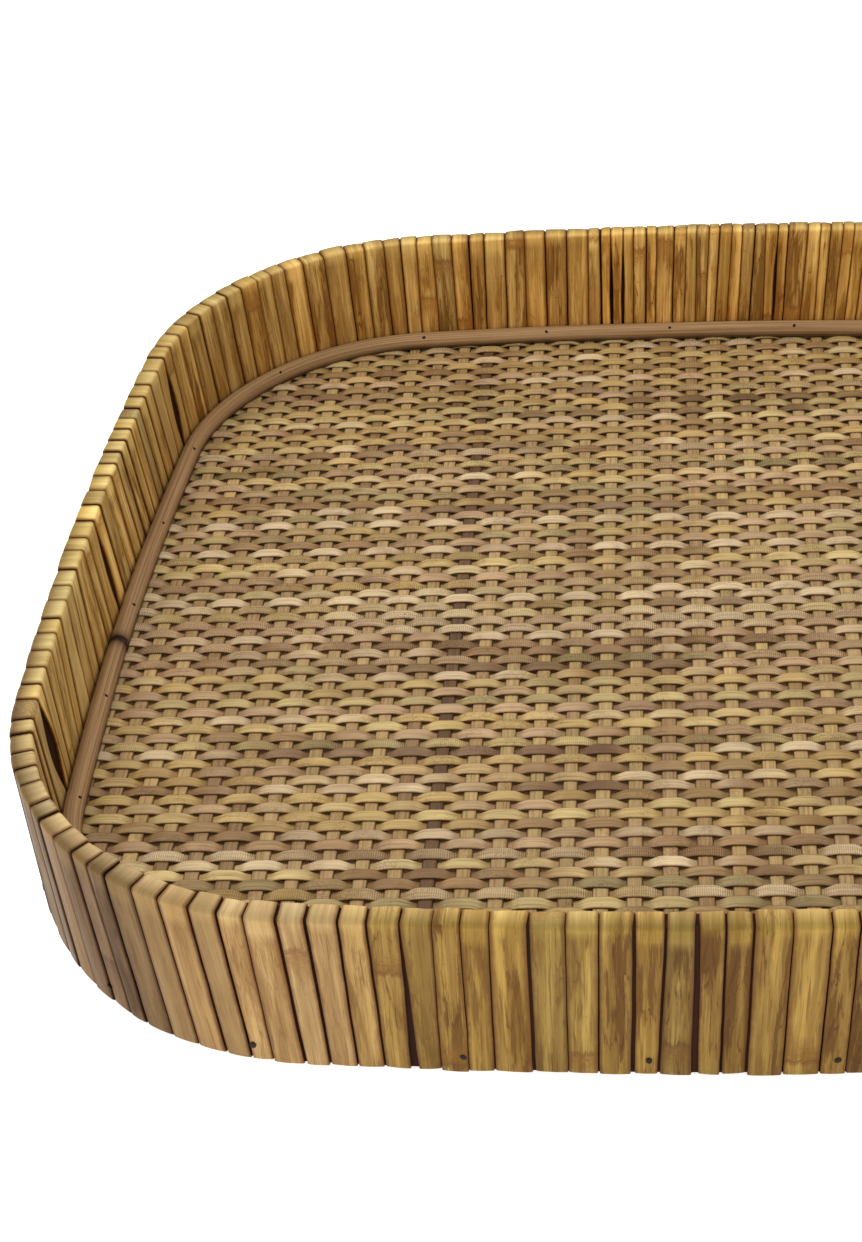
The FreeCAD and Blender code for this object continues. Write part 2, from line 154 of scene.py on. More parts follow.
class Grids:
    """Tubes given as grids of points, rows along the tube and a closed ring across it, kept with
    named values for every point and joined into one mesh."""

    def __init__(self):
        self.points = []
        self.values = {}
        self.quads = []
        self.caps = []
        self.count = 0

    def add(self, points, closed=False, **values):
        """Adds one tube. A closed one joins up with itself, and an open one gets two end caps."""
        rows, ring = points.shape[:2]
        number = np.arange(rows * ring).reshape(rows, ring) + self.count
        after = np.roll(number, -1, axis=1)
        quads = np.stack([number, after, np.roll(after, -1, axis=0), np.roll(number, -1, axis=0)], axis=-1)
        if not closed:
            quads = quads[:-1]
        quads = quads.reshape(-1, 4)
        local = points.reshape(-1, 3) - points.reshape(-1, 3).mean(0)
        corner = quads - self.count
        normal = np.cross(local[corner[:, 1]] - local[corner[:, 0]],
                          local[corner[:, 3]] - local[corner[:, 0]])
        inward = np.einsum("ij,ij->", normal, local[corner[:, 0]]) < 0
        caps = [] if closed else [number[0][::-1], number[-1]]
        if inward:
            quads = quads[:, ::-1]
            caps = [cap[::-1] for cap in caps]
        self.points.append(points.reshape(-1, 3))
        self.quads.append(quads)
        self.caps += caps
        self.count += rows * ring
        for name, value in values.items():
            full = np.broadcast_to(value, (rows, ring, np.shape(value)[-1]))
            self.values.setdefault(name, []).append(full.reshape(rows * ring, -1))

    def mesh(self, name):
        """All the tubes as one mesh, with the named values as its attributes."""
        points = np.concatenate(self.points)
        quads = np.concatenate(self.quads)
        corners = np.concatenate([quads.ravel()] + self.caps)
        sizes = np.concatenate([np.full(len(quads), 4), [len(cap) for cap in self.caps]]).astype(int)
        mesh = bpy.data.meshes.new(name)
        mesh.vertices.add(len(points))
        mesh.vertices.foreach_set("co", points.astype(np.float32).ravel())
        mesh.loops.add(len(corners))
        mesh.loops.foreach_set("vertex_index", corners.astype(np.int32))
        mesh.polygons.add(len(sizes))
        mesh.polygons.foreach_set("loop_start", (np.cumsum(sizes) - sizes).astype(np.int32))
        mesh.polygons.foreach_set("use_smooth", sizes == 4)
        for key, value in self.values.items():
            value = np.concatenate(value)
            kind = "FLOAT_COLOR" if value.shape[1] == 4 else "FLOAT_VECTOR"
            attribute = mesh.attributes.new(key, kind, "POINT")
            attribute.data.foreach_set("color" if kind == "FLOAT_COLOR" else "vector",
                                       value.astype(np.float32).ravel())
        mesh.update(calc_edges=True)
        mesh.validate()
        return mesh


def place_piece(name, mesh, material, slot, *nodes):
    """Puts a mesh in the scene as a piece that stands for CAD nodes."""
    mesh.materials.append(material)
    piece = bpy.data.objects.new(name, mesh)
    bpy.context.scene.collection.objects.link(piece)
    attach(piece, "root")
    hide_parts(*nodes)


WOBBLE_WAVES = (1, 0.57, 0.31)
WOBBLE_REACH = 1.9


def wobble(along, step, size):
    """A smooth random line that stays within size: sines of random phase, the shortest step long."""
    total = np.zeros_like(along)
    for share in WOBBLE_WAVES:
        phase = random.uniform(0, 2 * math.pi)
        total += share * np.sin(along * share * 2 * math.pi / step + phase)
    return size * total / WOBBLE_REACH


def opaque(tones, shape):
    """The tone of each row of a grid, as a colour with alpha at each of its points."""
    colour = np.concatenate([tones, np.ones((len(tones), 1))], axis=1)[:, None, :]
    return np.broadcast_to(colour, (*shape, 4))


# ---- materials ----

class Nodes:
    """A short way to build a material's node tree."""

    def __init__(self, name):
        self.material = bpy.data.materials.new(name)
        self.material.use_nodes = True
        self.tree = self.material.node_tree
        self.shader = self.tree.nodes["Principled BSDF"]

    def link(self, value, socket):
        """Joins a socket to another, or sets it to a number or colour."""
        if isinstance(value, bpy.types.NodeSocket):
            self.tree.links.new(value, socket)
        else:
            socket.default_value = value

    def attribute(self, name, output="Vector"):
        node = self.tree.nodes.new("ShaderNodeAttribute")
        node.attribute_name = name
        return node.outputs[output]

    def split(self, vector):
        node = self.tree.nodes.new("ShaderNodeSeparateXYZ")
        self.link(vector, node.inputs[0])
        return node.outputs

    def join(self, x, y, z):
        node = self.tree.nodes.new("ShaderNodeCombineXYZ")
        for value, socket in zip((x, y, z), node.inputs):
            self.link(value, socket)
        return node.outputs[0]

    def math(self, kind, first, second=0.0):
        node = self.tree.nodes.new("ShaderNodeMath")
        node.operation = kind
        for value, socket in zip((first, second), node.inputs):
            self.link(value, socket)
        return node.outputs[0]

    def times(self, first, second):
        return self.math("MULTIPLY", first, second)

    def plus(self, first, second):
        return self.math("ADD", first, second)

    def off_middle(self, noise):
        """How far a noise lies from its middle value, which draws thin winding lines."""
        return self.math("ABSOLUTE", self.math("SUBTRACT", noise, 0.5))

    def noise(self, vector, detail, roughness, distortion=0.0, scale=1.0):
        node = self.tree.nodes.new("ShaderNodeTexNoise")
        self.link(vector, node.inputs["Vector"])
        node.inputs["Scale"].default_value = scale
        node.inputs["Detail"].default_value = detail
        node.inputs["Roughness"].default_value = roughness
        node.inputs["Distortion"].default_value = distortion
        return node.outputs["Fac"]

    def ramp(self, value, low, high, start=0.0, end=1.0):
        """value from low to high as start to end, smoothly, and level outside."""
        node = self.tree.nodes.new("ShaderNodeMapRange")
        node.interpolation_type = "SMOOTHSTEP"
        for item, socket in zip((value, low, high, start, end), node.inputs):
            self.link(item, socket)
        return node.outputs[0]

    def mix(self, share, first, second, kind="MIX"):
        node = self.tree.nodes.new("ShaderNodeMix")
        node.data_type = "RGBA"
        node.blend_type = kind
        self.link(share, node.inputs["Factor"])
        for value, socket in ((first, node.inputs["A"]), (second, node.inputs["B"])):
            sockets = [s for s in node.inputs if s.name == socket.name and s.type == "RGBA"]
            if not isinstance(value, bpy.types.NodeSocket):
                value = (*value, 1.0)
            self.link(value, sockets[0])
        return [s for s in node.outputs if s.type == "RGBA"][0]

    def finish(self, colour, roughness, height, depth, specular=0.22):
        """Joins up the shader, height being bump that is depth metres high, and gives the material."""
        self.link(colour, self.shader.inputs["Base Color"])
        self.link(roughness, self.shader.inputs["Roughness"])
        self.shader.inputs["Specular IOR Level"].default_value = specular
        bump = self.tree.nodes.new("ShaderNodeBump")
        bump.inputs["Distance"].default_value = depth
        bump.inputs["Strength"].default_value = 1.0
        self.link(height, bump.inputs["Height"])
        self.link(bump.outputs[0], self.shader.inputs["Normal"])
        return self.material


class StripNodes(Nodes):
    """A material for strips. strip_place holds metres along and across the strip and a value named
    place_extra here. strip_kind holds a random number that differs from strip to strip, the place
    across from -1 to 1, and kind_extra. strip_tone is the strip's middle colour."""

    def __init__(self, name, seed_step):
        super().__init__(name)
        self.along, self.across, self.place_extra = self.split(self.attribute("strip_place"))
        number, edge, self.kind_extra = self.split(self.attribute("strip_kind"))
        self.from_middle = self.math("ABSOLUTE", edge)
        self.tone = self.attribute("strip_tone", "Color")
        self.seed = self.times(number, seed_step)

    def grain(self, along_scale, across_scale, *look):
        """Noise with so many waves to the metre along and across the strip."""
        room = self.join(self.times(self.along, along_scale), self.times(self.across, across_scale),
                         self.seed)
        return self.noise(room, *look)

    def change(self, along_scale, *look):
        """Noise that changes along the strip only."""
        return self.noise(self.join(self.times(self.along, along_scale), self.seed, 0.0), *look)

    def tinted(self, *tint):
        return self.mix(1.0, self.tone, tint, "MULTIPLY")

    def stain(self, colour, share, *tint):
        """The colour, with the strip's tone times a tint laid over a share of it."""
        return self.mix(share, colour, self.tinted(*tint))


def peel_grain(n, rough, bands, streaks):
    """The tone with broad bands and with dark and pale streaks, weaker where the peel is smooth."""
    banded = n.mix(n.ramp(bands, 0.38, 0.68), n.tinted(0.76, 0.69, 0.56), n.tinted(1.28, 1.27, 1.20))
    colour = n.mix(rough, n.tone, banded)
    dark_streak = n.times(n.times(n.ramp(streaks, 0.48, 0.34), 0.85), rough)
    colour = n.stain(colour, dark_streak, 0.50, 0.39, 0.26)
    pale_streak = n.times(n.times(n.ramp(streaks, 0.58, 0.72), 0.70), rough)
    return n.stain(colour, pale_streak, 1.55, 1.55, 1.50)


def peel_stains(n, colour, stained, stains, streaks):
    """Brown stains, deeper ones along the streaks, thin splits inside them, and specks."""
    stain = n.times(n.ramp(stains, 0.38, 0.62), n.math("MINIMUM", stained, 1.0))
    colour = n.stain(colour, n.times(stain, 0.82), 0.60, 0.48, 0.27)
    deep = n.times(n.ramp(n.plus(stains, n.times(streaks, 0.6)), 0.81, 0.93), stained)
    colour = n.stain(colour, n.math("MINIMUM", deep, 0.85), 0.34, 0.23, 0.12)
    splits = n.grain(42.0, 330.0, 3.0, 0.5, 0.5)
    split = n.times(n.ramp(n.off_middle(splits), 0.030, 0.008), n.ramp(stains, 0.46, 0.54))
    split = n.times(split, n.math("MINIMUM", n.times(stained, 0.8), 0.85))
    colour = n.stain(colour, split, 0.30, 0.18, 0.10)
    specks = n.grain(300.0, 420.0, 5.0, 0.7, 0.8)
    speck = n.times(n.ramp(specks, 0.62, 0.74), n.math("MINIMUM", stained, 0.9))
    return n.stain(colour, speck, 0.36, 0.24, 0.15)


def peel_node_marks(n, colour, to_node):
    """The plant's own nodes: a ragged dark line, and a curly stain past it. Gives the colour and
    the line."""
    ragged = n.noise(n.join(n.seed, n.times(n.across, 700.0), 0.0), 4.0, 0.7)
    past_node = n.plus(to_node, n.times(n.math("SUBTRACT", ragged, 0.5), 7 * MM))
    line = n.math("SUBTRACT", 1.0, n.ramp(n.math("ABSOLUTE", past_node), 0.3 * MM, 1.2 * MM))
    beside = n.times(n.ramp(past_node, -0.2 * MM, 0.6 * MM), n.ramp(past_node, 12 * MM, 2 * MM))
    curls = n.grain(900.0, 350.0, 3.0, 0.6, 2.0)
    colour = n.stain(colour, n.times(beside, n.ramp(curls, 0.35, 0.6, 0.35, 0.95)), 0.58, 0.42, 0.26)
    return n.stain(colour, n.times(line, 0.55), 0.42, 0.28, 0.17), line


def peel_edges(n, colour):
    """Darkening that reaches raggedly in from the edges, partly dirty patches and partly painted shade
    along the rounded edges, and thin dark lines at the very edges that are painted shade in the gaps
    between turns.
    """
    ragged = n.change(160.0, 5.0, 0.7)
    from_edge = n.plus(n.from_middle, n.times(ragged, 0.34))
    # Darker towards each edge: partly dirty patches, partly painted shade along the rounded edges.
    colour = n.stain(colour, n.times(n.ramp(from_edge, 0.84, 1.14), 0.85), 0.38, 0.24, 0.13)
    # A thin dark line at each edge, broken here and there: painted shade in the gaps between turns.
    gap_line_shade = n.times(n.ramp(n.from_middle, 0.965, 1.0), n.ramp(ragged, 0.35, 0.6, 0.5, 1.0))
    return n.stain(colour, gap_line_shade, 0.20, 0.10, 0.06)


def peel_material():
    """Split rattan peel: long grain, stains, node marks, and edges darkened partly by dirty patches and
    partly by painted shade. place_extra is the metres to the strip's node, and kind_extra how stained the
    strip is."""
    n = StripNodes("rattan_peel", 37.0)
    bands = n.grain(12.0, 380.0, 4.0, 0.6, 0.5)
    streaks = n.grain(36.0, 1100.0, 5.0, 0.68, 0.4)
    fibres = n.grain(70.0, 2600.0, 3.0, 0.6)
    stains = n.grain(20.0, 170.0, 5.0, 0.60, 0.3)
    rough = n.ramp(n.kind_extra, 0.0, 0.5, 0.3, 1.0)
    colour = peel_grain(n, rough, bands, streaks)
    colour = peel_stains(n, colour, n.kind_extra, stains, streaks)
    colour, node_line = peel_node_marks(n, colour, n.place_extra)
    colour = peel_edges(n, colour)
    fibre = n.times(n.times(n.ramp(fibres, 0.54, 0.70), 0.55), rough)
    colour = n.stain(colour, fibre, 0.48, 0.36, 0.23)
    height = n.plus(n.times(streaks, 0.6), n.times(fibres, 0.3))
    height = n.plus(height, n.times(bands, 0.6))
    height = n.plus(height, n.times(node_line, 0.9))
    return n.finish(colour, n.ramp(stains, 0.3, 0.7, 0.46, 0.64), height, 0.14 * MM, 0.14)


def cane_cracks(n, colour):
    """Patches of fine crazed lines."""
    lines = n.off_middle(n.grain(700.0, 900.0, 3.0, 0.6, 1.5))
    patches = n.grain(70.0, 60.0, 2.0, 0.5)
    crack = n.times(n.ramp(lines, 0.045, 0.01), n.ramp(patches, 0.50, 0.62))
    return n.stain(colour, n.times(crack, 0.75), 0.36, 0.25, 0.16)


def cane_material(name, streak_scale, dark_share, rib_share):
    """Flat woven cane: lengthwise grain, fine cross ribs on some strips, and painted shade where a strip
    passes under a crossing one and along its edges.
    place_extra is 1 on a crest and -1 where the strip lies lowest, and kind_extra is high on the ribbed
    strips."""
    n = StripNodes(name, 53.0)
    streaks = n.grain(45.0, streak_scale, 4.0, 0.66, 0.3)
    fibres = n.grain(90.0, 3600.0, 3.0, 0.6)
    spots = n.grain(420.0, 700.0, 4.0, 0.7)
    colour = n.stain(n.tone, n.ramp(streaks, 0.45, 0.75), 1.30, 1.26, 1.18)
    colour = n.stain(colour, n.times(n.ramp(streaks, 0.52, 0.30), 0.8), 0.58, 0.46, 0.32)
    dark_run = n.times(n.ramp(n.change(16.0, 4.0, 0.6), 0.48, 0.74), dark_share)
    colour = n.stain(colour, dark_run, 0.42, 0.28, 0.19)
    colour = n.stain(colour, n.times(n.ramp(spots, 0.62, 0.80), 0.5), 0.40, 0.26, 0.17)
    colour = cane_cracks(n, colour)
    # Darker where the strip goes under a crossing strip: painted shadow.
    dip_shadow = n.times(n.ramp(n.place_extra, 0.30, -0.70), 0.60)
    colour = n.stain(colour, dip_shadow, 0.50, 0.37, 0.25)
    # Darker along both edges: painted shade where the strips meet and pass under each other.
    edge_shade = n.times(n.ramp(n.from_middle, 0.76, 1.0), 0.80)
    colour = n.stain(colour, edge_shade, 0.34, 0.21, 0.13)
    rib_wave = n.math("SINE", n.plus(n.times(n.along, 9500.0), n.times(spots, 5.0)))
    ribs = n.times(n.times(rib_wave, n.ramp(n.kind_extra, 0.70, 0.85)), rib_share)
    rib_shade = n.times(n.plus(ribs, 0.1), 0.50)
    colour = n.stain(colour, n.math("MAXIMUM", rib_shade, 0.0), 0.50, 0.38, 0.28)
    height = n.plus(n.times(streaks, 0.5), n.times(fibres, 0.4))
    return n.finish(colour, n.ramp(spots, 0.3, 0.7, 0.42, 0.60), n.plus(height, ribs), 0.10 * MM)


def bead_material():
    """Split core cane: pinkish brown, with lines of fibre along it. strip_place holds metres along
    and around the bead, and how dark it is: dirty at the joint, and painted shade towards its foot where
    it sits on the floor."""
    n = Nodes("bead_cane")
    along, around, joint_dirt_and_foot_shade = n.split(n.attribute("strip_place"))

    def grain(along_scale, around_scale, seed, *look):
        return n.noise(n.join(n.times(along, along_scale), n.times(around, around_scale), seed), *look)

    fibres = grain(9.0, 1500.0, 0.0, 5.0, 0.65)
    fine = grain(60.0, 6000.0, 3.0, 3.0, 0.6)
    change = grain(22.0, 90.0, 7.0, 4.0, 0.6)
    colour = n.mix(n.ramp(fibres, 0.30, 0.66), srgb(126, 92, 57), srgb(180, 144, 100))
    colour = n.mix(n.times(n.ramp(change, 0.45, 0.70), 0.5), colour, srgb(158, 118, 78))
    colour = n.mix(n.times(n.ramp(fine, 0.60, 0.75), 0.4), colour, srgb(112, 76, 50))
    # Darker where the third value is high: dirty at the joint, and painted shade towards the bead's foot.
    colour = n.mix(n.times(joint_dirt_and_foot_shade, 0.8), colour, srgb(58, 33, 20))
    height = n.plus(fibres, n.times(fine, 0.4))
    return n.finish(colour, n.ramp(fibres, 0.3, 0.7, 0.62, 0.50), height, 0.25 * MM)


def wood_material(name, pale, dark, ring_scale, upright):
    """Sliced wood, whose rings and pores are stretched upright or along X."""
    n = Nodes(name)
    coordinates = n.tree.nodes.new("ShaderNodeTexCoord")
    x, y, z = n.split(coordinates.outputs["Object"])
    along, across = (z, n.plus(x, y)) if upright else (x, y)
    rings = n.noise(n.join(n.times(along, 6.0), n.times(across, ring_scale), 0.0), 5.0, 0.6, 0.8)
    pores = n.noise(n.join(n.times(along, 90.0), n.times(across, 2600.0), 1.0), 3.0, 0.6)
    colour = n.mix(n.ramp(rings, 0.35, 0.65), dark, pale)
    colour = n.mix(n.times(n.ramp(pores, 0.55, 0.72), 0.5), colour, dark * 0.55)
    height = n.plus(n.times(rings, 0.4), n.times(pores, 0.6))
    return n.finish(colour, n.ramp(rings, 0.3, 0.7, 0.58, 0.72), height, 0.15 * MM, 0.06)


def steel_material():
    """Darkened steel with rubbed spots, for the nail and brad heads."""
    n = Nodes("nail_steel")
    coordinates = n.tree.nodes.new("ShaderNodeTexCoord")
    rust = n.noise(coordinates.outputs["Object"], 4.0, 0.65, scale=1800.0)
    colour = n.mix(n.ramp(rust, 0.4, 0.65), srgb(26, 18, 14), srgb(62, 40, 28))
    n.shader.inputs["Metallic"].default_value = 0.5
    return n.finish(colour, n.ramp(rust, 0.3, 0.7, 0.45, 0.75), rust, 0.05 * MM)


# ---- the wall's peel ----

EDGE_RADIUS = 1.5 * MM
FACE_STEPS = 14
BEND_STEPS = 5
SECTION_WAVES = 12
PEEL_INNER = 1.15 * MM

# Places along the outline in mm, and how far the foot of a turn stands forward of its top there,
# in mm.
LEAN_OUTSIDE = (
    (-73, 5.0), (-40, 4.5), (-25, 3.3), (-7, 1.4), (26, -0.6), (41, -1.6), (70, -1.8), (126, -2.0),
    (277, -3.0), (453, -4.0), (628, -3.0), (800, -3.0), (980, -2.0), (1154, 2.0), (1290, 4.0),
)
LEAN_INSIDE = (
    (-73, -4.0), (102, 2.0), (277, 3.0), (453, 5.0), (628, 5.0), (720, 4.0), (810, 2.0), (910, 1.0),
    (1000, -4.0), (1056, -7.0), (1070, -12.0), (1110, -12.0), (1164, -10.0), (1190, -3.0), (1215, 3.0),
    (1232, 3.0), (1257, -8.5), (1290, -6.0),
)

# Places along the outline in mm, and how much half a gap widens there, in mm.
WIDENING = ((-190, 0.14), (-120, 0.24), (26, 0.24), (40, 0), (1000, 0), (1040, 0.14))
# Gaps much wider than the rest: the place in mm, the width in mm at the top and at the foot.
WIDE_GAPS_OUTSIDE = ((33.6, 0.3, 2.3), (70, 0.8, 0.9), (92, 0.9, 1.1), (112, 1.3, 1.9), (-30, 0.5, 0.9))
# Gaps that open like a lens on the inside: the place and width in mm, and the shares of the height
# below the top between which it opens.
LENS_GAPS_INSIDE = ((1256.7, 8.0, 0.04, 0.76), (1164, 3.6, 0.08, 0.85), (1056, 5.0, 0.08, 0.80),
                    (1207, 1.2, 0.02, 0.5), (826, 1.2, 0.05, 0.95), (760, 1.0, 0.1, 0.8))
# How near a gap has to come to a place in those two tables to be the one that is meant.
NEAR = 4.2 * MM

# The most in mm that half a plain gap can measure, and how often each of these comes.
GAP_HALF_WIDTHS = (0.08, 0.20, 0.42)
GAP_SHARES = (0.42, 0.38, 0.20)
# How far a gap's foot strays, how far its middle line wavers, and how far its edges fray.
GAP_LEAN = 0.45 * MM
GAP_WAVER = 0.075 * MM
GAP_FRAY = 0.02 * MM

# The greyed tone is grey peel, made darker still as painted shade for the left part of the front-left
# corner, the side turned away from the lamp.
GREYED_AND_SHADED_PEEL = (118, 89, 49)
PALE_PEEL = (164, 135, 92)
GOLDEN_PEEL = (152, 122, 58)
BROWN_PEEL = (160, 129, 63)
OCHRE_PEEL = (200, 162, 96)
BRIGHT_PEEL = (222, 178, 102)
STRAW_PEEL = (208, 178, 114)
TAN_PEEL = (190, 157, 112)

# Places along the outline in mm, and the peel's middle colour there.
TONES_OUTSIDE = (
    (-146, GREYED_AND_SHADED_PEEL), (-50, GREYED_AND_SHADED_PEEL), (-20, PALE_PEEL), (18, PALE_PEEL), (36, GOLDEN_PEEL),
    (102, GOLDEN_PEEL), (277, BROWN_PEEL), (1154, BROWN_PEEL),
)
TONES_INSIDE = (
    (-70, TAN_PEEL), (10, TAN_PEEL), (40, OCHRE_PEEL), (453, OCHRE_PEEL), (760, BRIGHT_PEEL),
    (850, BRIGHT_PEEL), (980, OCHRE_PEEL), (1154, STRAW_PEEL), (1250, STRAW_PEEL),
)
# Places along the outline in mm, and how stained the peel is there.
STAINS = (
    (-146, 0.5), (20, 0.45), (34, 1.4), (277, 1.4), (453, 1.0), (760, 1.4), (980, 1.1), (1154, 0.8),
)
# The shares by which red, green and blue rise near the top of a turn, partly paler peel and partly
# painted light on the wall's top, and by which they fall where it faces up and at its inner foot,
# both painted shade.
TOP_PALER_PEEL_AND_LIGHT = np.array([0.20, 0.25, 0.24])
UPWARD_PAINTED_SHADE = np.array([0.22, 0.19, 0.15])
INNER_FOOT_PAINTED_SHADE = np.array([0.10, 0.20, 0.30])


def round_the_outline(table, unit):
    """A function that gives the values listed at places in mm, and runs straight between them."""
    places, values = np.array(table).T

    def at(place):
        return np.interp(place / MM, places, values, period=outline.length / MM) * unit

    return at


lean_outside = round_the_outline(LEAN_OUTSIDE, MM)
lean_inside = round_the_outline(LEAN_INSIDE, MM)
widening = round_the_outline(WIDENING, MM)
stains = round_the_outline(STAINS, 1)


def tone_at(place, table):
    """The colour at a place, between the colours listed along the outline."""
    places = [row[0] for row in table]
    channels = zip(*[row[1] for row in table])
    return srgb(*[np.interp(place / MM, places, list(channel), period=outline.length / MM)
                  for channel in channels])


def wall_section():
    """Round the wall's section, from the middle of its foot up the outside, over the top and down
    the inside: the inset and height of each step, and the way out of the wall there."""
    radius = EDGE_RADIUS
    rows = []

    def straight(start, end, out, steps):
        for share in np.linspace(0, 1, steps, endpoint=False):
            inset, height = [first + share * (last - first) for first, last in zip(start, end)]
            rows.append((inset, height, *out))

    def bend(centre, first):
        for turn in np.linspace(first, first - math.pi / 2, BEND_STEPS, endpoint=False):
            rows.append((centre[0] + radius * math.cos(turn), centre[1] + radius * math.sin(turn),
                         math.cos(turn), math.sin(turn)))

    low, high = radius, HEIGHT - radius
    near, far = radius, WALL_THICK - radius
    straight((WALL_THICK / 2, 0), (near, 0), (0, -1), 2)
    bend((near, low), -math.pi / 2)
    straight((0, low), (0, high), (-1, 0), FACE_STEPS)
    bend((near, high), math.pi)
    straight((near, HEIGHT), (far, HEIGHT), (0, 1), 3)
    bend((far, high), math.pi / 2)
    straight((WALL_THICK, high), (WALL_THICK, low), (1, 0), FACE_STEPS)
    bend((far, low), 0)
    straight((far, 0), (WALL_THICK / 2, 0), (0, -1), 2)
    return np.array(rows)


SECTION = wall_section()
SECTION_STEPS = np.hypot(*np.diff(SECTION[:, :2], axis=0, append=SECTION[:1, :2]).T)
SECTION_LENGTH = SECTION_STEPS.sum()
SECTION_ALONG = np.cumsum(SECTION_STEPS) - SECTION_STEPS
INSIDE_SHARE = np.clip((SECTION[:, 0] - EDGE_RADIUS) / (WALL_THICK - 2 * EDGE_RADIUS), 0, 1)
DOWN_SHARE = 1 - SECTION[:, 1] / HEIGHT

# Across a turn of peel: the place from -1 to 1, and how far it lies below the crown.
PEEL_ACROSS = np.array([-1, -0.985, -0.93, -0.8, -0.4, 0, 0.4, 0.8, 0.93, 0.985, 1])
PEEL_BELOW = np.array([0.55, 0.28, 0.14, 0.08, 0.02, 0, 0.02, 0.08, 0.14, 0.28, 0.55]) * MM


def closed_wobble(size):
    """A random line round the wall's section that joins up with itself, finer waves being lower."""
    around = SECTION_ALONG / SECTION_LENGTH * 2 * math.pi
    total = np.zeros_like(around)
    for wave in range(1, SECTION_WAVES + 1):
        total += random.normal() / wave ** 0.8 * np.sin(around * wave + random.uniform(0, 2 * math.pi))
    return total * size


def nearest(table, place):
    """What a table lists at a place, or None where it lists nothing near it."""
    for listed, *sizes in table:
        away = (listed * MM - place + outline.length / 2) % outline.length - outline.length / 2
        if abs(away) < NEAR:
            return sizes
    return None


class Gap:
    """The gap between two turns: its middle line and half its width, at each step of the section."""

    def __init__(self, place):
        lean = lean_outside(place) * (1 - INSIDE_SHARE) + lean_inside(place) * INSIDE_SHARE
        self.middle = place + (lean + random.normal(0, GAP_LEAN)) * DOWN_SHARE + closed_wobble(GAP_WAVER)
        widest = random.choice(GAP_HALF_WIDTHS, p=GAP_SHARES)
        low, high = sorted(random.uniform(0.3, 1.0, 2) * widest * MM)
        self.half = low + (high - low) * random.choice([DOWN_SHARE, 1 - DOWN_SHARE])
        self.half = self.half + widening(place) * random.uniform(0.5, 1.5)
        self.half = self.half + np.abs(closed_wobble(GAP_FRAY))
        wide = nearest(WIDE_GAPS_OUTSIDE, place)
        if wide:
            top_width, foot_width = wide
            half = (top_width + (foot_width - top_width) * DOWN_SHARE) * MM / 2
            self.half = self.half + (half - self.half) * (1 - INSIDE_SHARE)
        lens = nearest(LENS_GAPS_INSIDE, place)
        if lens:
            width, opening, closing = lens
            swell = np.sin(np.clip((DOWN_SHARE - opening) / (closing - opening), 0, 1) * math.pi) ** 1.2
            self.half = self.half + width * MM / 2 * swell * (INSIDE_SHARE == 1)


def gap_places(name, count):
    """Uneven places of the gaps along one arc, its two ends among them. On the back side two narrow
    turns often stand in place of one, and most often on its first half."""
    widths = random.uniform(0.80, 1.20, count)
    if name == "back":
        chance = np.where(np.arange(count) < count * 0.55, 0.75, 0.15)
        narrow = random.random(count) < chance
        widths = np.concatenate([[0.55, 0.65] if two else [width] for two, width in zip(narrow, widths)])
    places = np.concatenate([[0], np.cumsum(widths)])
    start, end = outline.span(name)
    return start + (end - start) * places / places[-1]


def make_peel(material):
    """One piece to a side or corner, with each turn of peel a closed band of its own."""
    places = {}
    for name in outline.names:
        places[name] = gap_places(name, CORNER_WRAPS if name.endswith("corner") else SIDE_WRAPS)
    first_gap = Gap(places["front"][0])
    before = first_gap
    for name in outline.names:
        grids = Grids()
        for place in places[name][1:]:
            if abs(place - outline.length) < MM:
                after = first_gap
                shift = outline.length
            else:
                after = Gap(place)
                shift = 0
            add_turn(grids, before, after, shift, tone_at(place, TONES_OUTSIDE),
                     tone_at(place, TONES_INSIDE), stains(place))
            before = after
        place_piece("peel_" + name, grids.mesh("peel_" + name), material, "rattan_peel",
                    "wrap_" + name)


def turn_shape(before, after, shift):
    """A band of peel between two gaps, a little tilted, sunk and shortened against the others: the
    metres across it and its points, of which the last two of each step lie inside the wall."""
    start = before.middle + before.half
    end = after.middle - after.half + shift
    middle = ((start + end) / 2)[:, None]
    across = ((end - start) / 2)[:, None] * PEEL_ACROSS
    tilt = random.uniform(-0.22, 0.22) * MM
    below = PEEL_BELOW + random.uniform(0, 0.35) * MM + abs(tilt) + tilt * PEEL_ACROSS
    lift = random.uniform(0, 0.6) * MM
    squash = (HEIGHT - lift - random.uniform(0, 0.3) * MM) / HEIGHT
    step_inset, step_height, out_inset, out_height = SECTION.T[:, :, None]
    inset = step_inset - out_inset * below
    height = lift + (step_height - out_height * below) * squash
    inner_inset = np.clip(step_inset - out_inset * PEEL_INNER, PEEL_INNER, WALL_THICK - PEEL_INNER)
    inner_height = np.clip(step_height - out_height * PEEL_INNER, PEEL_INNER, HEIGHT - PEEL_INNER)
    across = np.concatenate([across, across[:, -1:], across[:, :1]], axis=1)
    inset = np.concatenate([inset, inner_inset, inner_inset], axis=1)
    height = np.concatenate([height, inner_height, inner_height], axis=1)
    return across, outline.points(middle + across, inset, height)


